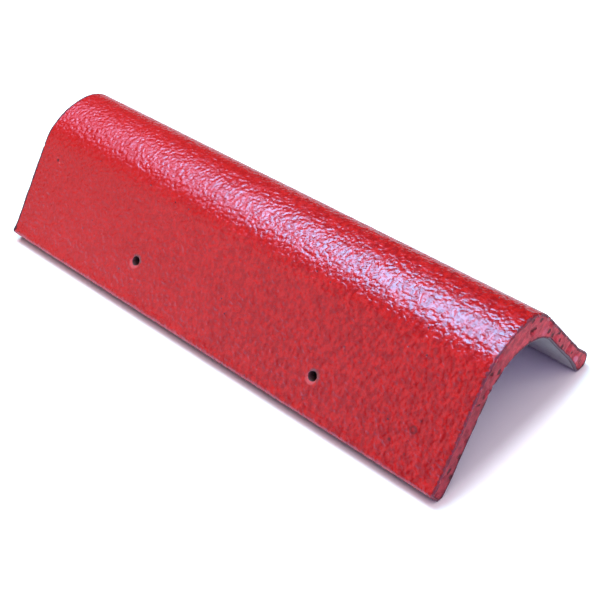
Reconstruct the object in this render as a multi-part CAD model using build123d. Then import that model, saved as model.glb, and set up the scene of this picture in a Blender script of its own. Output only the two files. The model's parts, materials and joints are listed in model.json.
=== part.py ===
from build123d import *

import os
from math import cos, radians, sin, sqrt

# Verge tile: one length of cast concrete with two wings, a thick rounded crown and two nail holes.
# The tile lies on its two wing ends on a level floor. X runs along the tile, Y runs across it from the
# nailed front wing to the back wing, and Z is up. The origin is on the floor under the middle of the tile.

# Driving dimensions in millimetres, slopes in degrees below the horizontal
tile_length = 420.0
tile_height = 91.0

# Crown, from the ridge down to each wing
crown_radius = 62.0
crown_slope = 30.0
shoulder_radius = 40.0
apex_radius = 30.0
arch_radius = 43.0

# Front wing, which flares outward at its foot
front_thickness = 15.0
front_slope = 54.0
flare_radius = 30.0
foot_slope = 36.0
foot_seat = 5.0

# Back wing, which is thinner and thickens into a round bead at its toe
back_thickness = 11.0
back_slope = 52.0
bead_radius = 7.5
bead_run = 15.0
bead_seat = 5.0

# Roundings of the long edges
foot_round = 3.0
seat_round = 1.5
neck_round = 10.0

# Nail holes through the front wing
nail_diameter = 5.0
nail_clearance = 2.0
near_hole_height = 30.0
far_hole_height = 34.0
hole_pitch = 177.0
near_hole_inset = 111.0


def drop(radius, upper_slope, lower_slope):
    """Height lost along an arc of this radius between two slopes."""
    return radius * abs(cos(radians(upper_slope)) - cos(radians(lower_slope)))


def foot_height():
    """Height of the foot's outer edge above the floor, where its square end is worn to a flat seat."""
    worn = foot_seat * sin(radians(foot_slope)) * cos(radians(foot_slope))
    return front_thickness * cos(radians(foot_slope)) - worn


def neck_height():
    """Height of the back wing's outer face where it starts to thicken into the bead."""
    bead_height = sqrt(bead_radius**2 - (bead_seat / 2) ** 2)
    half_wall = back_thickness / 2 * cos(radians(back_slope))
    return bead_height + bead_run * sin(radians(back_slope)) + half_wall


def straight_run(falls, slope):
    """Length of a straight face that takes up the height left over by the other falls."""
    return (tile_height - sum(falls)) / sin(radians(slope))


def meeting_point(first, second):
    """Where two straight faces meet, each given as a point and a direction."""
    (start, heading), (other, other_heading) = first, second
    gap = other - start
    cross = heading.X * other_heading.Y - heading.Y * other_heading.X
    reach = (gap.X * other_heading.Y - gap.Y * other_heading.X) / cross
    return start + heading * reach


def tile_section():
    """Section across the tile, drawn from the ridge down each wing and back up under the arch."""
    ridge = Vector(0, tile_height)
    flare_turn = front_slope - foot_slope
    front_run = straight_run(
        [
            drop(crown_radius, 0, crown_slope),
            drop(shoulder_radius, crown_slope, front_slope),
            drop(flare_radius, front_slope, foot_slope),
            foot_height(),
        ],
        front_slope,
    )
    back_run = straight_run([drop(apex_radius, 0, back_slope), neck_height()], back_slope)
    with BuildSketch(Plane.YZ) as section:
        with BuildLine():
            crown = JernArc(ridge, (-1, 0), crown_radius, crown_slope)
            shoulder = JernArc(crown @ 1, crown % 1, shoulder_radius, front_slope - crown_slope)
            front = PolarLine(shoulder @ 1, front_run, direction=shoulder % 1)
            flare = JernArc(front @ 1, front % 1, flare_radius, -flare_turn)
            foot = PolarLine(flare @ 1, front_thickness, direction=(flare % 1).rotate(Axis.Z, 90))
            under_flare = JernArc(foot @ 1, -(flare % 1), flare_radius + front_thickness, flare_turn)

            apex = JernArc(ridge, (1, 0), apex_radius, -back_slope)
            back = PolarLine(apex @ 1, back_run, direction=apex % 1)
            neck = PolarLine(back @ 1, back_thickness, direction=(back % 1).rotate(Axis.Z, -90))

            front_face = (under_flare @ 1, under_flare % 1)
            back_face = (neck @ 1, -(back % 1))
            springing = meeting_point(front_face, back_face)
            FilletPolyline(under_flare @ 1, springing, neck @ 1, radius=arch_radius)
        make_face()

        # The back wing thickens from its neck to a round bead
        with BuildLine(mode=Mode.PRIVATE) as bead:
            Line(neck @ 0, neck @ 1)
            CenterArc(neck @ 0.5 + (back % 1) * bead_run, bead_radius, 0, 360)
        make_hull(bead.edges())

        # The floor plane cuts the foot and the bead to their flat seats
        floor_width = 2 * section.sketch.bounding_box().size.Y
        Rectangle(floor_width, tile_height, align=(Align.CENTER, Align.MAX), mode=Mode.SUBTRACT)
        fillet(section.vertices().group_by(Axis.Y)[0].sort_by(Axis.X)[:2], seat_round)
        fillet(section.vertices().sort_by(Axis.X)[0], foot_round)
        fillet(section.vertices().sort_by_distance(neck @ 0)[0], neck_round)
        fillet(section.vertices().sort_by_distance(neck @ 1)[0], neck_round)
    return section.sketch, shoulder @ 1


def nail_hole_places(face_point):
    """Mouths of the nail holes on the front wing's outer face, each facing out along its axis."""
    outward = (0, -sin(radians(front_slope)), cos(radians(front_slope)))
    near_x = tile_length / 2 - near_hole_inset
    places = []
    for hole_x, hole_height in ((near_x, near_hole_height), (near_x - hole_pitch, far_hole_height)):
        fall = face_point.Y - hole_height
        mouth_y = face_point.X - fall * cos(radians(front_slope)) / sin(radians(front_slope))
        places.append(Plane((hole_x, mouth_y, hole_height), x_dir=(1, 0, 0), z_dir=outward))
    return places


def verge_tile():
    """The whole tile, centred on the floor."""
    section, face_point = tile_section()
    with BuildPart() as tile:
        extrude(section, amount=tile_length / 2, both=True)
        with Locations(nail_hole_places(face_point)):
            Hole(radius=(nail_diameter + nail_clearance) / 2, depth=2 * front_thickness)
    middle = tile.part.bounding_box().center()
    return Pos(-middle.X, -middle.Y, 0) * tile.part


os.makedirs("parts", exist_ok=True)
export_step(verge_tile(), "parts/verge_tile.step")
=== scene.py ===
"""Looks of the verge tile: one length of cast concrete with a glossy red coat, on a pale floor.

X runs along the tile, Y across it from the nailed front wing to the back wing, and Z is up. Lengths
are in metres, and MM turns millimetres into them. The section, the nail holes and the ends come from
the frame. The script adds the relief of the coat, the worn arrises, the rough ends and the finish.
"""

import json
from math import ceil, cos, pi, radians, sin

import bmesh
import bpy
import numpy as np
from mathutils import Matrix, Vector, noise
from mathutils.geometry import delaunay_2d_cdt


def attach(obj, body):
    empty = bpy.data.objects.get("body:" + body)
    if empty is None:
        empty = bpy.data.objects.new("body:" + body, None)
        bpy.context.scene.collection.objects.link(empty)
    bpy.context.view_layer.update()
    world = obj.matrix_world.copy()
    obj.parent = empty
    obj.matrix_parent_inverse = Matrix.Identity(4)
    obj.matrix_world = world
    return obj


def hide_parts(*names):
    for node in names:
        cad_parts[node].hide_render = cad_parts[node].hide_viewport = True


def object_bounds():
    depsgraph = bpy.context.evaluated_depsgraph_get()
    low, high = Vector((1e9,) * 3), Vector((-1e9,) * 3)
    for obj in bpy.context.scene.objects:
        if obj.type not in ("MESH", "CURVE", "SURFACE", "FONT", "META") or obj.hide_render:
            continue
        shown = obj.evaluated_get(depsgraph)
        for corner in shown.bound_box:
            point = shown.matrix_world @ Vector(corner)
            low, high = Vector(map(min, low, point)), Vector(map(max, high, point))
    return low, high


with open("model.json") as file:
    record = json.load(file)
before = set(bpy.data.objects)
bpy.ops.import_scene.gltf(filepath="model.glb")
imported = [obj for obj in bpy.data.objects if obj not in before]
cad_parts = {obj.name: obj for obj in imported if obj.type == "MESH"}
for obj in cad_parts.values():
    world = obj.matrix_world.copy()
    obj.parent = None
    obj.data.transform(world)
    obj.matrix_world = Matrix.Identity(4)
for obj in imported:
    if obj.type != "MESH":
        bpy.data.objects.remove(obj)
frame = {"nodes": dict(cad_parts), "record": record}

MM = 0.001
cad_low, cad_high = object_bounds()
half_length = cad_high.x

# Mesh steps along the tile, round its section and over its ends
skin_step = 1.3 * MM
underside_step = 3.0 * MM
end_step = 1.6 * MM
first_stations = [0.0, 0.3, 0.7, 1.2, 1.8, 2.6, 3.6]

# Arrises at the two ends, worn round and chipped
arris_radius = 0.9 * MM
arris_wander = 0.7 * MM
arris_least = 0.25 * MM
chip_depth = 1.9 * MM
corner_share = 0.7
arris_reach = 3.0 * MM

# Relief of the coat
ripple_length = 11.0 * MM
ripple_depth = 0.16 * MM
stipple_length = 3.2 * MM
stipple_depth = 0.40 * MM
far_stipple_share = 0.75

# Relief of the rough ends
grit_length = 3.4 * MM
grit_depth = 0.7 * MM
hollow_length = 7.0 * MM
hollow_depth = 1.8 * MM

# Nail holes and their worn mouths
hole_sides = 48
hole_wander = 0.06
mouth_flare = 0.5 * MM
mouth_wear_width = 2.6 * MM
mouth_wear_depth = 0.5 * MM

# Coat: its red, a darker mottling that is painted shade of its bumps and grows towards the near end,
# and its orange peel
coat_red = (0.69, 0.018, 0.016, 1)
deep_coat_red = (0.63, 0.014, 0.012, 1)
painted_shade_red = (0.40, 0.006, 0.008, 1)
painted_shade_strength = 0.85
peel_size = 2.7 * MM
peel_depth = 0.40 * MM

# Floor round the tile: a glow that only the camera sees, which rises from the tile's outline over the
# shadow's reach and lightens the tile's shadow there, and grows again where the lamps leave the floor
# grey
shadow_inset = (3 * MM, 8 * MM)
shadow_reach = 20 * MM
shadow_lift = 0.7
grey_floor = (0.2, 0.7)
grey_floor_lift = 0.9

# Camera: the photograph's viewing angle, and where the origin lies in its frame
image_width = 600
focal_pixels = 1174.5
camera_azimuth = 44.98
camera_elevation = 39.40
camera_roll = -2.89
camera_distance = 867.8 * MM
middle_in_image = (278.4, 297.0)

# Marks on the coat and on the near end, in millimetres: place, radius, edge, part, colour, strength;
# the near end's list also holds a painted highlight on the toe
wing_marks = [
    ((-188.8, -44.6, 64.1), 1.7, 0.9, "Disc", (0.10, 0.006, 0.010, 1), 0.9),
    ((-186.6, -45.4, 63.0), 0.9, 0.5, "Disc", (0.90, 0.20, 0.22, 1), 0.8),
    ((180.3, -66.9, 33.4), 2.0, 1.4, "Ring", (0.16, 0.005, 0.008, 1), 0.8),
    ((183.0, -62.5, 39.5), 1.2, 0.8, "Disc", (0.12, 0.005, 0.008, 1), 0.7),
    ((167.9, -74.5, 23.0), 1.5, 0.9, "Disc", (0.12, 0.005, 0.008, 1), 0.8),
    ((181.2, -76.3, 20.5), 1.3, 0.9, "Disc", (0.14, 0.005, 0.008, 1), 0.7),
    ((139.4, -54.3, 50.9), 1.1, 0.7, "Disc", (0.12, 0.005, 0.008, 1), 0.7),
    ((-209.0, -83.0, 12.0), 3.2, 1.4, "Disc", (0.03, 0.008, 0.008, 1), 0.9),
    ((-209.0, 27.0, 84.5), 3.4, 1.4, "Disc", (0.03, 0.008, 0.008, 1), 0.9),
]
end_marks_and_highlight = [
    ((209.0, 23.9, 68.1), 4.5, 3.0, "Disc", (0.95, 0.14, 0.22, 1), 0.6),
    # Painted highlight on the toe
    ((209.5, 70.0, 14.0), 3.0, 1.5, "Disc", (0.95, 0.35, 0.45, 1), 0.7),
    ((209.5, 7.4, 70.9), 1.8, 1.0, "Disc", (0.02, 0.005, 0.010, 1), 0.9),
]


# Section of the tile


def section_outline(tile):
    """The near end's closed outline as (y, z) points, from the foot over the ridge and back inside."""
    mesh = bmesh.new()
    mesh.from_mesh(tile.data)
    bmesh.ops.remove_doubles(mesh, verts=mesh.verts, dist=0.001 * MM)
    end = {f for f in mesh.faces if f.normal.x > 0.99 and f.calc_center_median().x > 0.99 * half_length}
    rim = {e for f in end for e in f.edges if sum(g in end for g in e.link_faces) == 1}
    start = min((v for e in rim for v in e.verts), key=lambda v: v.co.y)
    loop, came_by = [start], None
    while True:
        came_by = next(e for e in loop[-1].link_edges if e in rim and e is not came_by)
        ahead = came_by.other_vert(loop[-1])
        if ahead is start:
            break
        loop.append(ahead)
    points = np.array([(v.co.y, v.co.z) for v in loop])
    mesh.free()
    upward = points[1, 1] > points[-1, 1]
    return points if upward else points[::-1]


def rounded(points, cuts=5):
    """The outline with a small curve in place of each corner, so that its arcs run smooth."""
    before = points - np.roll(points, 1, axis=0)
    after = np.roll(before, -1, axis=0)
    before_length = np.linalg.norm(before, axis=1)[:, None]
    after_length = np.roll(before_length, -1, axis=0)
    reach = np.minimum(before_length, after_length) / 2
    start = (points - reach * before / before_length)[:, None]
    end = (points + reach * after / after_length)[:, None]
    share = np.linspace(0, 1, cuts, endpoint=False)[None, :, None]
    curve = (1 - share) ** 2 * start + 2 * share * (1 - share) * points[:, None] + share**2 * end
    return curve.reshape(-1, 2)


def outward_of(points):
    """Unit directions out of a closed outline that runs clockwise, seen with Y to the right."""
    along = np.roll(points, -1, axis=0) - np.roll(points, 1, axis=0)
    out = np.column_stack([-along[:, 1], along[:, 0]])
    return out / np.linalg.norm(out, axis=1)[:, None]


def facing_in(ring, out):
    """True where the section faces the hollow under the tile."""
    hollow_middle = np.array([(cad_low.y + cad_high.y) / 2, cad_high.z / 5])
    return np.sum(out * (ring - hollow_middle), axis=1) < 0


def section_ring(tile):
    """Points round the section, close together on the skin and wide apart on the underside."""
    fine = rounded(section_outline(tile))
    step = np.where(facing_in(fine, outward_of(fine)), underside_step, skin_step)
    gap = np.linalg.norm(np.roll(fine, -1, axis=0) - fine, axis=1)
    count = np.concatenate([[0], np.cumsum(gap / step)])
    wanted = np.linspace(0, count[-1], ceil(count[-1]), endpoint=False)
    closed = np.vstack([fine, fine[:1]])
    return np.column_stack([np.interp(wanted, count, closed[:, k]) for k in (0, 1)])


# Relief


def noise_at(places, length, seed):
    """Smooth noise from -1 to 1 at each place, with features about one length across."""
    shift = Vector((seed, 2 * seed, -seed))
    return np.array([noise.noise(Vector(p) / length + shift) for p in places])


def smooth_step(value, low, high):
    """Eased rise from 0 at low to 1 at high."""
    share = np.clip((value - low) / (high - low), 0, 1)
    return share * share * (3 - 2 * share)


def corner_limit(ring, out):
    """How far each point may move in before the outline would cross itself at a rounded corner."""
    turn = np.arccos(np.clip(np.sum(np.roll(out, -2, axis=0) * np.roll(out, 2, axis=0), axis=1), -1, 1))
    span = np.linalg.norm(np.roll(ring, -2, axis=0) - np.roll(ring, 2, axis=0), axis=1)
    limit = corner_share * span / np.maximum(turn, radians(1))
    return np.min([np.roll(limit, k) for k in range(-3, 4)], axis=0)


def worn_arris(ring, out, side):
    """Radius of the arris round one end: it wanders, and here and there a chip is gone."""
    places = np.column_stack([np.full(len(ring), side * half_length), ring])
    wander = arris_radius + arris_wander * noise_at(places, 9 * MM, 3 + side)
    chips = chip_depth * smooth_step(noise_at(places, 5 * MM, 8 + side), 0.32, 0.62)
    return np.clip(wander + chips, arris_least, corner_limit(ring, out))


def drawn_in(distance, radius):
    """How far a rounded arris lies below the skin, at this distance from the end face."""
    short = np.clip(radius - distance, 0, radius)
    return radius - np.sqrt(radius**2 - short**2)


def skin_relief(places, inside):
    """Depth below the true skin: long ripples and a stipple, which is smoother towards the far end."""
    ripple = 0.5 - 0.5 * noise_at(places, ripple_length, 1.7)
    stipple = 0.5 - 0.5 * noise_at(places, stipple_length, 5.1)
    near = smooth_step(places[:, 0], -half_length, 0.4 * half_length)
    strength = np.where(inside, 0.5, far_stipple_share + (1 - far_stipple_share) * near)
    return ripple_depth * ripple + stipple_depth * strength * stipple


def nail_holes():
    """The nail holes as the frame gives them."""
    return [m for m in frame["record"]["mounts"] if m["kind"] == "bore"]


def mouth_wear(places):
    """Depth of the wear round the mouths of the nail holes."""
    depth = np.zeros(len(places))
    for hole in nail_holes():
        away = places - np.array(hole["pos_m"])
        axis = np.array(hole["axis"])
        off_axis = np.linalg.norm(away - np.outer(away @ axis, axis), axis=1)
        rim = hole["dims"]["r_mm"] * MM
        worn = 1 - smooth_step(off_axis, rim, rim + mouth_wear_width)
        depth += mouth_wear_depth * worn * (away @ axis > 0)
    return depth


# Mesh of the tile, with one material slot for each finish

COAT, END, UNDERSIDE, HOLE = range(4)


def mesh_object(name, shape):
    """A new object in the scene from a finished shape."""
    mesh = bpy.data.meshes.new(name)
    shape.to_mesh(mesh)
    shape.free()
    thing = bpy.data.objects.new(name, mesh)
    bpy.context.scene.collection.objects.link(thing)
    return thing


def stations():
    """Places along the tile, closer together at its two ends."""
    inset = np.array(first_stations) * MM
    reach = half_length - inset[-1]
    middle = np.linspace(-reach, reach, ceil(2 * reach / skin_step))
    return np.concatenate([-half_length + inset[:-1], middle, half_length - inset[-2::-1]])


def skin_grid(ring):
    """Points of the skin and the underside: stations along the tile, section points round it."""
    out = outward_of(ring)
    inside = facing_in(ring, out)
    arrises = {side: worn_arris(ring, out, side) for side in (-1, 1)}
    grid = []
    for x in stations():
        flat = np.column_stack([np.full(len(ring), x), ring])
        worn = np.maximum(drawn_in(half_length - x, arrises[1]), drawn_in(half_length + x, arrises[-1]))
        depth = worn + skin_relief(flat, inside) + mouth_wear(flat)
        moved = ring - out * depth[:, None]
        grid.append(np.column_stack([flat[:, 0], moved[:, 0], np.maximum(moved[:, 1], 0)]))
    return np.array(grid)


def off_outline(points, edge):
    """Distance from each point to a closed outline."""
    start, way = edge[None], (np.roll(edge, -1, axis=0) - edge)[None]
    away = points[:, None] - start
    share = np.clip(np.sum(away * way, axis=2) / np.sum(way * way, axis=2), 0, 1)
    return np.linalg.norm(away - share[..., None] * way, axis=2).min(axis=1)


def well_inside(points, edge, margin):
    """The points that lie inside the closed edge, at least the margin away from it."""
    start, way = edge[None], (np.roll(edge, -1, axis=0) - edge)[None]
    away = points[:, None] - start
    above = away[..., 1] < 0
    crosses = above != np.roll(above, -1, axis=1)
    rise = np.where(way[..., 1] == 0, 1, way[..., 1])
    to_the_right = away[..., 0] < away[..., 1] / rise * way[..., 0]
    inside = np.sum(crosses & to_the_right, axis=1) % 2 == 1
    return points[inside & (off_outline(points, edge) > margin)]


def end_face(edge, side):
    """Points and triangles that close one end inside its edge, with rough relief and hollows."""
    low, high = edge.min(axis=0), edge.max(axis=0)
    y, z = np.meshgrid(np.arange(low[0], high[0], end_step), np.arange(low[1], high[1], end_step))
    y[::2] += end_step / 2
    inner = np.column_stack([y.ravel(), z.ravel()])
    places = np.column_stack([np.full(len(inner), side * half_length), inner])
    shake = np.column_stack([noise_at(places, 2 * MM, seed) for seed in (31, 47)])
    inner = inner + 0.4 * end_step * shake
    inner = well_inside(inner, edge, 0.5 * end_step)
    links = [(i, (i + 1) % len(edge)) for i in range(len(edge))]
    flat = [Vector(p) for p in np.vstack([edge, inner])]
    points, _, triangles, _, _, _ = delaunay_2d_cdt(flat, links, [], 1, 1e-9)
    return np.array([tuple(p) for p in points]), triangles


def end_depth(places, side):
    """Depth of the rough end below its true face."""
    grit = 0.5 + 0.5 * noise_at(places, grit_length, 12 + side)
    hollows = smooth_step(noise_at(places, hollow_length, 21 + side), 0.2, 0.6)
    return grit_depth * grit + hollow_depth * hollows


def cast_tile(ring):
    """The tile as one closed mesh: the grid of its skin, and the two rough ends."""
    grid = skin_grid(ring)
    rows, count = grid.shape[:2]
    tile = bmesh.new()
    verts = [[tile.verts.new(p) for p in row] for row in grid]
    inside = facing_in(ring, outward_of(ring))
    for i in range(rows - 1):
        for j in range(count):
            k = (j + 1) % count
            face = tile.faces.new((verts[i][j], verts[i + 1][j], verts[i + 1][k], verts[i][k]))
            face.material_index = UNDERSIDE if inside[j] and inside[k] else COAT
    for row, side in ((0, -1), (-1, 1)):
        edge = grid[row][:, 1:]
        points, triangles = end_face(edge, side)
        places = np.column_stack([np.full(len(points), side * half_length), points])
        places[:, 0] -= side * end_depth(places, side)
        new = list(verts[row]) + [tile.verts.new(p) for p in places[count:]]
        for corners in triangles:
            face = tile.faces.new([new[c] for c in corners])
            face.material_index = END
    bmesh.ops.recalc_face_normals(tile, faces=tile.faces)
    return tile


def hole_plug(hole):
    """A closed plug of a nail hole's shape, a little out of round, which widens at the mouth."""
    radius = hole["dims"]["r_mm"] * MM
    half_wall = hole["dims"]["length_mm"] * MM / 2
    levels = [
        (-2 * half_wall, radius),
        (half_wall - 2 * mouth_flare, radius),
        (half_wall - mouth_flare, radius + 0.3 * mouth_flare),
        (half_wall, radius + mouth_flare),
        (2 * half_wall, radius + mouth_flare),
    ]
    aim = Vector(hole["axis"]).to_track_quat("Z", "Y").to_matrix().to_4x4()
    place = Matrix.Translation(hole["pos_m"]) @ aim
    turns = [2 * pi * k / hole_sides for k in range(hole_sides)]
    around = [Vector((cos(t), sin(t), 0)) for t in turns]
    plug = bmesh.new()
    rings = []
    for height, reach in levels:
        level = Vector((0, 0, height))
        shift = Vector((0, height / (3 * MM), hole["pos_m"][0] * 90))
        wander = [1 + hole_wander * noise.noise(1.3 * a + shift) for a in around]
        rings.append([plug.verts.new(place @ (a * reach * w + level)) for a, w in zip(around, wander)])
    for lower, upper in zip(rings, rings[1:]):
        for k in range(hole_sides):
            n = (k + 1) % hole_sides
            plug.faces.new((lower[k], lower[n], upper[n], upper[k]))
    plug.faces.new(rings[0][::-1])
    plug.faces.new(rings[-1])
    for face in plug.faces:
        face.material_index = HOLE
    return mesh_object("plug", plug)


def mark_arrises(tile, ring):
    """Stores how near each point lies to an arris at either end, from 1 on it to 0 well away."""
    flat = np.empty(3 * len(tile.data.vertices))
    tile.data.vertices.foreach_get("co", flat)
    places = flat.reshape(-1, 3)
    from_end = half_length - np.abs(places[:, 0])
    close = from_end < 2 * arris_reach
    nearness = np.zeros(len(places))
    off = np.hypot(np.maximum(from_end[close], 0), off_outline(places[close, 1:], ring))
    nearness[close] = 1 - smooth_step(off, 0.3 * arris_reach, arris_reach)
    tile.data.attributes.new("arris", "FLOAT", "POINT").data.foreach_set("value", nearness)


def make_tile(materials):
    """The whole tile as one piece, with its nail holes cut."""
    ring = section_ring(frame["nodes"]["verge_tile"])
    tile = mesh_object("cast_verge_tile", cast_tile(ring))
    for material in materials:
        tile.data.materials.append(material)
    for hole in nail_holes():
        plug = hole_plug(hole)
        for material in materials:
            plug.data.materials.append(material)
        cut = tile.modifiers.new("nail_hole", "BOOLEAN")
        cut.object, cut.solver = plug, "MANIFOLD"
        bpy.context.view_layer.objects.active = tile
        bpy.ops.object.modifier_apply(modifier=cut.name)
        bpy.data.objects.remove(plug)
    mark_arrises(tile, ring)
    tile.data.shade_smooth()
    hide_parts("verge_tile")
    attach(tile, "root")


# Shader nodes


def new_node(tree, kind, **settings):
    """A node of one kind with its own settings."""
    node = tree.nodes.new(kind)
    for name, value in settings.items():
        setattr(node, name, value)
    return node


def feed(tree, socket, value):
    """Links a socket to an input, or sets the input to a plain value."""
    if isinstance(value, bpy.types.NodeSocket):
        tree.links.new(value, socket)
    else:
        socket.default_value = value


def maths(tree, operation, *values):
    """Plain maths on sockets or numbers."""
    node = new_node(tree, "ShaderNodeMath", operation=operation)
    for socket, value in zip(node.inputs, values):
        feed(tree, socket, value)
    return node.outputs[0]


def arrows(tree, operation, *values):
    """Vector maths: the vector it gives, and the plain value it gives."""
    node = new_node(tree, "ShaderNodeVectorMath", operation=operation)
    for socket, value in zip(node.inputs, values):
        feed(tree, socket, value)
    return node.outputs[0], node.outputs[1]


def spread(tree, value, low, high, to_low=0.0, to_high=1.0):
    """The value's stretch from low to high, eased, as to_low to to_high."""
    node = new_node(tree, "ShaderNodeMapRange", interpolation_type="SMOOTHSTEP")
    for socket, number in zip(node.inputs, (value, low, high, to_low, to_high)):
        feed(tree, socket, number)
    return node.outputs[0]


def blend_colours(tree, share, first, second):
    """The first colour where the share is 0, and the second where it is 1."""
    node = new_node(tree, "ShaderNodeMix", data_type="RGBA")
    feed(tree, node.inputs["Factor"], share)
    feed(tree, node.inputs["A"], first)
    feed(tree, node.inputs["B"], second)
    return node.outputs["Result"]


def noise_height(tree, vector, size, detail=2.0, rough=0.5, bend=0.0):
    """Noise from 0 to 1 with features about one size across, in metres."""
    node = new_node(tree, "ShaderNodeTexNoise")
    feed(tree, node.inputs["Vector"], vector)
    feed(tree, node.inputs["Scale"], maths(tree, "DIVIDE", 1.0, size))
    feed(tree, node.inputs["Detail"], detail)
    feed(tree, node.inputs["Roughness"], rough)
    feed(tree, node.inputs["Distortion"], bend)
    return node.outputs[0]


def new_group(name, inputs, outputs):
    """A shader node group with named inputs and outputs, what it is given and what it has to make."""
    group = bpy.data.node_groups.new(name, "ShaderNodeTree")
    for title, kind, value in inputs:
        socket = group.interface.new_socket(title, in_out="INPUT", socket_type=kind)
        if value is not None:
            socket.default_value = value
    for title, kind in outputs:
        group.interface.new_socket(title, in_out="OUTPUT", socket_type=kind)
    given = group.nodes.new("NodeGroupInput").outputs
    made = group.nodes.new("NodeGroupOutput").inputs
    return group, given, made


def place_group(tree, group, **values):
    """The group in a material, with its inputs fed by name."""
    node = new_node(tree, "ShaderNodeGroup", node_tree=group)
    for name, value in values.items():
        feed(tree, node.inputs[name], value)
    return node.outputs


FLOAT, VECTOR, COLOUR = "NodeSocketFloat", "NodeSocketVector", "NodeSocketColor"


def peel_group():
    """Orange peel: low round bumps, some joined into short worms."""
    inputs = [("Vector", VECTOR, None), ("Size", FLOAT, 0.002)]
    group, given, made = new_group("orange_peel", inputs, [("Height", FLOAT)])
    bumps = noise_height(group, given["Vector"], given["Size"], detail=0.8, rough=0.4, bend=0.2)
    feed(group, made["Height"], spread(group, bumps, 0.15, 0.85))
    return group


def sand_group():
    """Sand in concrete: grains and small gaps between them."""
    inputs = [("Vector", VECTOR, None), ("Grain", FLOAT, 0.0012)]
    group, given, made = new_group("sand", inputs, [("Height", FLOAT), ("Tone", FLOAT)])
    grains = new_node(group, "ShaderNodeTexVoronoi", feature="F1")
    feed(group, grains.inputs["Vector"], given["Vector"])
    feed(group, grains.inputs["Scale"], maths(group, "DIVIDE", 1.0, given["Grain"]))
    coarse_size = maths(group, "MULTIPLY", given["Grain"], 3.5)
    coarse = noise_height(group, given["Vector"], coarse_size, detail=4.0, rough=0.6)
    round_tops = spread(group, grains.outputs["Distance"], 0.0, 0.7, 1.0, 0.0)
    feed(group, made["Height"], maths(group, "MULTIPLY_ADD", coarse, 1.5, round_tops))
    single = new_node(group, "ShaderNodeSeparateColor")
    feed(group, single.inputs[0], grains.outputs["Color"])
    grain_tone = maths(group, "MULTIPLY", single.outputs[0], 0.3)
    feed(group, made["Tone"], maths(group, "MULTIPLY_ADD", coarse, 0.7, grain_tone))
    return group


def pinhole_group():
    """Scattered small holes: the mask is 1 inside a hole, and Share says how many cells have one."""
    inputs = [
        ("Vector", VECTOR, None),
        ("Spacing", FLOAT, 0.01),
        ("Radius", FLOAT, 0.12),
        ("Share", FLOAT, 0.3),
        ("Ragged", FLOAT, 0.0),
    ]
    group, given, made = new_group("pinholes", inputs, [("Mask", FLOAT)])
    cells = new_node(group, "ShaderNodeTexVoronoi", feature="F1")
    feed(group, cells.inputs["Vector"], given["Vector"])
    feed(group, cells.inputs["Scale"], maths(group, "DIVIDE", 1.0, given["Spacing"]))
    single = new_node(group, "ShaderNodeSeparateColor")
    feed(group, single.inputs[0], cells.outputs["Color"])
    here = maths(group, "LESS_THAN", single.outputs[0], given["Share"])
    edge_size = maths(group, "MULTIPLY", given["Spacing"], 0.35)
    edge = noise_height(group, given["Vector"], edge_size, detail=2.0)
    shift = maths(group, "MULTIPLY", maths(group, "SUBTRACT", edge, 0.5), given["Ragged"])
    reach = maths(group, "ADD", cells.outputs["Distance"], shift)
    core = maths(group, "MULTIPLY", given["Radius"], 0.5)
    near = spread(group, reach, core, given["Radius"], 1.0, 0.0)
    feed(group, made["Mask"], maths(group, "MULTIPLY", here, near))
    return group


def drift_group():
    """Slow, cloudy change between two colours."""
    inputs = [
        ("Vector", VECTOR, None),
        ("Length", FLOAT, 0.06),
        ("First", COLOUR, None),
        ("Second", COLOUR, None),
    ]
    group, given, made = new_group("colour_drift", inputs, [("Color", COLOUR)])
    cloud = noise_height(group, given["Vector"], given["Length"], detail=5.0, rough=0.6)
    share = spread(group, cloud, 0.3, 0.7)
    feed(group, made["Color"], blend_colours(group, share, given["First"], given["Second"]))
    return group


def arris_group():
    """A line along the arrises of the two ends, broken here and there, which the finishes colour dark.
    """
    inputs = [("Vector", VECTOR, None), ("Width", FLOAT, 0.5), ("Break", FLOAT, 0.4)]
    group, given, made = new_group("dark_arris_line", inputs, [("Mask", FLOAT)])
    nearness = new_node(group, "ShaderNodeAttribute", attribute_name="arris").outputs["Fac"]
    ragged = noise_height(group, given["Vector"], 2.5 * MM, detail=4.0, rough=0.6)
    shift = maths(group, "MULTIPLY", maths(group, "SUBTRACT", ragged, 0.5), given["Break"])
    edge = maths(group, "SUBTRACT", 1.0, given["Width"])
    reach = maths(group, "ADD", nearness, shift)
    low, high = (maths(group, way, edge, 0.2) for way in ("SUBTRACT", "ADD"))
    line = spread(group, reach, low, high)
    feed(group, made["Mask"], maths(group, "MULTIPLY", line, spread(group, nearness, 0.0, 0.2)))
    return group


def spot_group():
    """A spot at one place on the tile: its disc, and a ring round its edge."""
    inputs = [
        ("Vector", VECTOR, None),
        ("Centre", VECTOR, None),
        ("Radius", FLOAT, 0.002),
        ("Edge", FLOAT, 0.001),
    ]
    group, given, made = new_group("spot", inputs, [("Disc", FLOAT), ("Ring", FLOAT)])
    ragged = maths(group, "SUBTRACT", noise_height(group, given["Vector"], 2.2 * MM, detail=2.0), 0.5)
    far = arrows(group, "DISTANCE", given["Vector"], given["Centre"])[1]
    far = maths(group, "MULTIPLY_ADD", ragged, given["Edge"], far)
    outer = maths(group, "ADD", given["Radius"], given["Edge"])
    inner = maths(group, "SUBTRACT", given["Radius"], given["Edge"])
    disc = spread(group, far, inner, given["Radius"], 1.0, 0.0)
    wide = spread(group, far, given["Radius"], outer, 1.0, 0.0)
    feed(group, made["Disc"], disc)
    feed(group, made["Ring"], maths(group, "SUBTRACT", wide, disc))
    return group


def new_material(name, roughness=0.5):
    """A material with its Principled shader, its tree and the place on the object."""
    material = bpy.data.materials.new(name)
    material.use_nodes = True
    tree = material.node_tree
    shader = tree.nodes["Principled BSDF"]
    shader.inputs["Roughness"].default_value = roughness
    here = new_node(tree, "ShaderNodeTexCoord").outputs["Object"]
    return material, tree, shader, here


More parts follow.
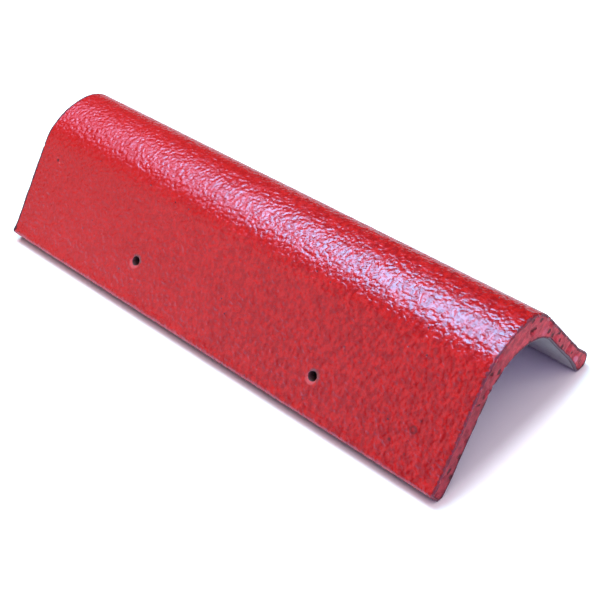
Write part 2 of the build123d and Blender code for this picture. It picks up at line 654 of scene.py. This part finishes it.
def raise_surface(tree, shader, *layers):
    """Bumps the surface by several heights, each with its depth in metres."""
    normal = None
    for height, depth in layers:
        bump = new_node(tree, "ShaderNodeBump")
        feed(tree, bump.inputs["Height"], height)
        bump.inputs["Distance"].default_value = depth
        if normal:
            feed(tree, bump.inputs["Normal"], normal)
        normal = bump.outputs["Normal"]
    feed(tree, shader.inputs["Normal"], normal)


# Finishes


def with_marks_and_painted_light(tree, groups, here, colour, marks):
    """The colour with a list of marks on it, stains and painted light alike."""
    for centre, radius, edge, part, tint, strength in marks:
        place = [value * MM for value in centre]
        spot = place_group(
            tree, groups["spot"], Vector=here, Centre=place, Radius=radius * MM, Edge=edge * MM
        )
        colour = blend_colours(tree, maths(tree, "MULTIPLY", spot[part], strength), colour, tint)
    return colour


def hole_rim_marks_and_painted_light():
    """Marks round the mouths of the nail holes: grey brown above, a painted highlight on the lip below,
    and painted shade at the mouth.
    """
    marks = []
    for hole in nail_holes():
        middle, axis = Vector(hole["pos_m"]) / MM, Vector(hole["axis"])
        mouth = middle + axis * hole["dims"]["length_mm"] / 2
        above = mouth + Vector((0.8, 0.5, 0.7))
        below = mouth - Vector((0.7, 0.9, 1.2))
        marks.append((above, 5.4, 1.7, "Disc", (0.22, 0.060, 0.050, 1), 0.75))
        # Painted highlight: the pale lip below the mouth.
        marks.append((below, 5.2, 1.5, "Disc", (0.80, 0.120, 0.130, 1), 0.80))
        # Painted shade: the near-black ring at the mouth.
        marks.append((mouth, 3.4, 1.0, "Disc", (0.06, 0.015, 0.015, 1), 0.90))
    return marks


def glossy_coat(groups):
    """The glossy red coat, with orange peel, pinholes, a dark line along the end arrises and a little
    drift in its red; painted shade in its mottling, its pinholes and along its bottom edge, and painted
    highlight and shade round the nail holes.
    """
    material, tree, shader, here = new_material("glossy_red_coat")
    shader.inputs["IOR"].default_value = 1.85
    shader.inputs["Specular Tint"].default_value = (0.35, 0.65, 1.0, 1)
    along, _, height = new_node(tree, "ShaderNodeSeparateXYZ").outputs
    feed(tree, along.node.inputs[0], here)
    red = place_group(
        tree, groups["drift"], Vector=here, Length=55 * MM, First=coat_red, Second=deep_coat_red
    )["Color"]
    # Painted shade: a darker mottling stands in for the shade of the coat's bumps, and is stronger
    # towards the near end
    more_shade_near_end = spread(tree, along, -0.9 * half_length, 0.7 * half_length, 0.25, 1.0)
    peel = place_group(tree, groups["peel"], Vector=here, Size=peel_size)["Height"]
    streaks = arrows(tree, "MULTIPLY", here, (1.0, 0.6, 0.6))[0]
    bump_shade = spread(tree, noise_height(tree, streaks, 3.0 * MM, detail=2.0), 0.35, 0.65)
    bump_shade = maths(tree, "MULTIPLY", bump_shade, more_shade_near_end)
    red = blend_colours(tree, maths(tree, "MULTIPLY", bump_shade, painted_shade_strength), red, painted_shade_red)
    red = with_marks_and_painted_light(tree, groups, here, red, wing_marks + hole_rim_marks_and_painted_light())
    holes = place_group(
        tree, groups["pinholes"], Vector=here, Spacing=7 * MM, Radius=0.11, Share=0.16
    )["Mask"]
    # Painted shade: the pinholes are coloured dark red.
    red = blend_colours(tree, holes, red, (0.14, 0.008, 0.010, 1))
    # A dark line along the arrises of the ends, also made rougher.
    width = spread(tree, along, -0.5 * half_length, 0.0, 0.55, 0.15)
    darkening = place_group(tree, groups["arris"], Vector=here, Width=width, Break=1.8)["Mask"]
    darkening = maths(tree, "MULTIPLY", darkening, spread(tree, along, -0.5 * half_length, 0.0, 0.95, 0.7))
    red = blend_colours(tree, darkening, red, (0.080, 0.008, 0.009, 1))
    # Painted shade along the bottom edge, where the foot's end faces the floor, with a ragged top.
    shade_edge_noise = noise_height(tree, here, 5 * MM, detail=4.0, rough=0.65)
    low = maths(tree, "MULTIPLY_ADD", shade_edge_noise, 9 * MM, height)
    painted_contact_shade = spread(tree, low, 6 * MM, 10 * MM, 1.0, 0.0)
    red = blend_colours(tree, maths(tree, "MULTIPLY", painted_contact_shade, 0.8), red, (0.075, 0.012, 0.030, 1))
    feed(tree, shader.inputs["Base Color"], red)
    grain = place_group(tree, groups["sand"], Vector=here, Grain=1.0 * MM)["Height"]
    sheen = spread(tree, peel, 0.35, 0.65, 0.22, 0.30)
    matte = maths(tree, "MAXIMUM", maths(tree, "MULTIPLY", darkening, 0.8), sheen)
    feed(tree, shader.inputs["Roughness"], matte)
    depth_of_hole = maths(tree, "MULTIPLY", holes, -1.0)
    raise_surface(tree, shader, (peel, peel_depth), (grain, 0.03 * MM), (depth_of_hole, 0.4 * MM))
    return material


def coated_end(groups):
    """The rough ends: thin, dusty red over broken concrete, with painted shade that colours its pits
    nearly black, a dark line along the arrises and a painted highlight on the toe.
    """
    material, tree, shader, here = new_material("coated_rough_end", 0.6)
    shader.inputs["Specular IOR Level"].default_value = 0.3
    red = place_group(
        tree, groups["drift"], Vector=here, Length=6 * MM,
        First=(1.0, 0.090, 0.115, 1), Second=(0.48, 0.030, 0.045, 1),
    )["Color"]
    sand = place_group(tree, groups["sand"], Vector=here, Grain=1.4 * MM)
    red = blend_colours(tree, maths(tree, "MULTIPLY", sand["Tone"], 0.35), red, (0.30, 0.07, 0.08, 1))
    across = new_node(tree, "ShaderNodeSeparateXYZ")
    feed(tree, across.inputs[0], here)
    red = with_marks_and_painted_light(tree, groups, here, red, end_marks_and_highlight)
    front = spread(tree, across.outputs["Y"], -35 * MM, -5 * MM, 0.4, 0.0)
    red = blend_colours(tree, front, red, (0.20, 0.015, 0.035, 1))
    holes = place_group(
        tree, groups["pinholes"], Vector=here, Spacing=6.5 * MM, Radius=0.34, Share=0.35, Ragged=0.5
    )["Mask"]
    # Painted shade: the pits are coloured nearly black.
    red = blend_colours(tree, maths(tree, "MULTIPLY", holes, 0.85), red, (0.07, 0.008, 0.012, 1))
    darkening = place_group(tree, groups["arris"], Vector=here, Width=0.55, Break=0.8)["Mask"]
    red = blend_colours(tree, maths(tree, "MULTIPLY", darkening, 0.85), red, (0.085, 0.012, 0.026, 1))
    feed(tree, shader.inputs["Base Color"], red)
    depth_of_pit = maths(tree, "MULTIPLY", holes, -1.0)
    raise_surface(tree, shader, (sand["Height"], 0.25 * MM), (depth_of_pit, 1.0 * MM))
    return material


def bare_underside(groups):
    """Bare grey concrete under the tile, with painted shade along the arrises at its ends."""
    material, tree, shader, here = new_material("bare_concrete", 0.8)
    sand = place_group(tree, groups["sand"], Vector=here, Grain=1.3 * MM)
    grey = place_group(
        tree, groups["drift"], Vector=here, Length=30 * MM,
        First=(0.64, 0.62, 0.64, 1), Second=(0.52, 0.50, 0.52, 1),
    )["Color"]
    grey = blend_colours(tree, sand["Tone"], (0.36, 0.34, 0.36, 1), grey)
    darkening = place_group(tree, groups["arris"], Vector=here, Width=0.6, Break=0.7)["Mask"]
    # Painted shade along the inner arrises at the ends.
    grey = blend_colours(tree, maths(tree, "MULTIPLY", darkening, 0.7), grey, (0.10, 0.03, 0.05, 1))
    feed(tree, shader.inputs["Base Color"], grey)
    raise_surface(tree, shader, (sand["Height"], 0.18 * MM))
    return material


def hole_wall(groups):
    """The walls of the nail holes: concrete with a smear of coat, coloured near black as painted shade
    inside the holes.
    """
    material, tree, shader, here = new_material("nail_hole_wall", 0.85)
    sand = place_group(tree, groups["sand"], Vector=here, Grain=0.8 * MM)
    # Painted shade: the walls are coloured near black.
    darkening = blend_colours(tree, sand["Tone"], (0.05, 0.015, 0.015, 1), (0.16, 0.07, 0.07, 1))
    feed(tree, shader.inputs["Base Color"], darkening)
    raise_surface(tree, shader, (sand["Height"], 0.1 * MM))
    return material


# Floor, light and camera


def pale_floor():
    """A plain white floor, lifted for the camera by a glow that rises away from the tile and lightens
    its shadow there, so that only shadows show on it.
    """
    material, tree, shader, here = new_material("white_floor", 0.9)
    shader.inputs["Base Color"].default_value = (0.90, 0.93, 0.90, 1)
    shader.inputs["Specular IOR Level"].default_value = 0.0
    shader.inputs["Emission Color"].default_value = (0.88, 0.92, 1.0, 1)
    seen = new_node(tree, "ShaderNodeLightPath").outputs["Is Camera Ray"]
    outward = arrows(tree, "ABSOLUTE", here)[0]
    covered = (half_length - shadow_inset[0], cad_high.y - shadow_inset[1], 0)
    past_edge = arrows(tree, "SUBTRACT", outward, covered)[0]
    gap = arrows(tree, "LENGTH", arrows(tree, "MAXIMUM", past_edge, (0, 0, 0))[0])[1]
    near_lift = spread(tree, gap, 0.0, shadow_reach, 0.0, shadow_lift)
    far_lift = spread(tree, gap, *grey_floor, 0.0, grey_floor_lift)
    lift = maths(tree, "ADD", near_lift, far_lift)
    feed(tree, shader.inputs["Emission Strength"], maths(tree, "MULTIPLY", seen, lift))
    shape = bmesh.new()
    bmesh.ops.create_grid(shape, x_segments=1, y_segments=1, size=6.0)
    floor = mesh_object("floor", shape)
    floor.data.materials.append(material)


def surroundings():
    """Dim lavender room light, and plain white where the camera looks past the floor."""
    world = bpy.data.worlds.new("studio")
    bpy.context.scene.world = world
    world.use_nodes = True
    tree = world.node_tree
    tree.nodes.clear()
    seen = new_node(tree, "ShaderNodeLightPath").outputs["Is Camera Ray"]
    room, white = (new_node(tree, "ShaderNodeBackground") for _ in range(2))
    room.inputs["Color"].default_value = (1.0, 0.85, 0.95, 1)
    room.inputs["Strength"].default_value = 0.025
    mix = new_node(tree, "ShaderNodeMixShader")
    feed(tree, mix.inputs[0], seen)
    feed(tree, mix.inputs[1], room.outputs[0])
    feed(tree, mix.inputs[2], white.outputs[0])
    white.inputs["Color"].default_value = (1, 1, 1, 1)
    feed(tree, new_node(tree, "ShaderNodeOutputWorld").inputs["Surface"], mix.outputs[0])


def softbox(name, towards, distance, size, radiance, tint):
    """A lamp that faces the tile from one direction. Its first side runs along the tile."""
    lamp = bpy.data.lights.new(name, "AREA")
    lamp.shape = "RECTANGLE"
    lamp.size, lamp.size_y = size
    lamp.energy = radiance * pi * size[0] * size[1]
    lamp.color = tint
    back = Vector(towards).normalized()
    level = (Vector((1, 0, 0)) - back.x * back).normalized()
    place = Matrix((level, back.cross(level), back)).transposed().to_4x4()
    place.translation = back * distance
    stand = bpy.data.objects.new(name, lamp)
    stand.matrix_world = place
    bpy.context.scene.collection.objects.link(stand)


def place_camera():
    """The photograph's viewing angle: where the origin lies in the image, and how far off it is."""
    data = bpy.data.cameras.new("camera")
    data.sensor_width = 36.0
    data.lens = data.sensor_width * focal_pixels / image_width
    camera = bpy.data.objects.new("camera", data)
    a, e, roll = radians(camera_azimuth), radians(camera_elevation), radians(camera_roll)
    back = Vector((sin(a) * cos(e), -cos(a) * cos(e), sin(e)))
    level = Vector((cos(a), sin(a), 0))
    right = cos(roll) * level + sin(roll) * back.cross(level)
    up = back.cross(right)
    across = (middle_in_image[0] - image_width / 2) / focal_pixels
    above = (image_width / 2 - middle_in_image[1]) / focal_pixels
    place = Matrix((right, up, back)).transposed().to_4x4()
    place.translation = camera_distance * (back - across * right - above * up)
    camera.matrix_world = place
    bpy.context.scene.collection.objects.link(camera)
    bpy.context.scene.camera = camera


groups = {
    "peel": peel_group(),
    "sand": sand_group(),
    "pinholes": pinhole_group(),
    "drift": drift_group(),
    "arris": arris_group(),
    "spot": spot_group(),
}
finishes = (glossy_coat, coated_end, bare_underside, hole_wall)
make_tile([finish(groups) for finish in finishes])
pale_floor()
surroundings()
softbox("window", (-0.25, 0.07, 0.965), 1.5, (0.84, 0.68), 13.0, (0.38, 0.86, 1.0))
softbox("far_window", (-0.62, 0.05, 0.79), 1.5, (0.7, 0.66), 4.8, (1.0, 0.42, 0.50))
softbox("right_panel", (0.40, -0.15, 0.90), 1.5, (0.9, 1.0), 3.7, (1.0, 0.84, 0.90))
softbox("side_panel", (0.85, -0.30, 0.45), 2.0, (1.8, 1.6), 1.2, (0.60, 0.38, 1.0))
softbox("front_panel", (-0.55, -0.75, 0.32), 1.3, (1.2, 0.8), 0.85, (1.0, 0.60, 0.50))
place_camera()
bpy.context.scene.view_settings.view_transform = "Standard"
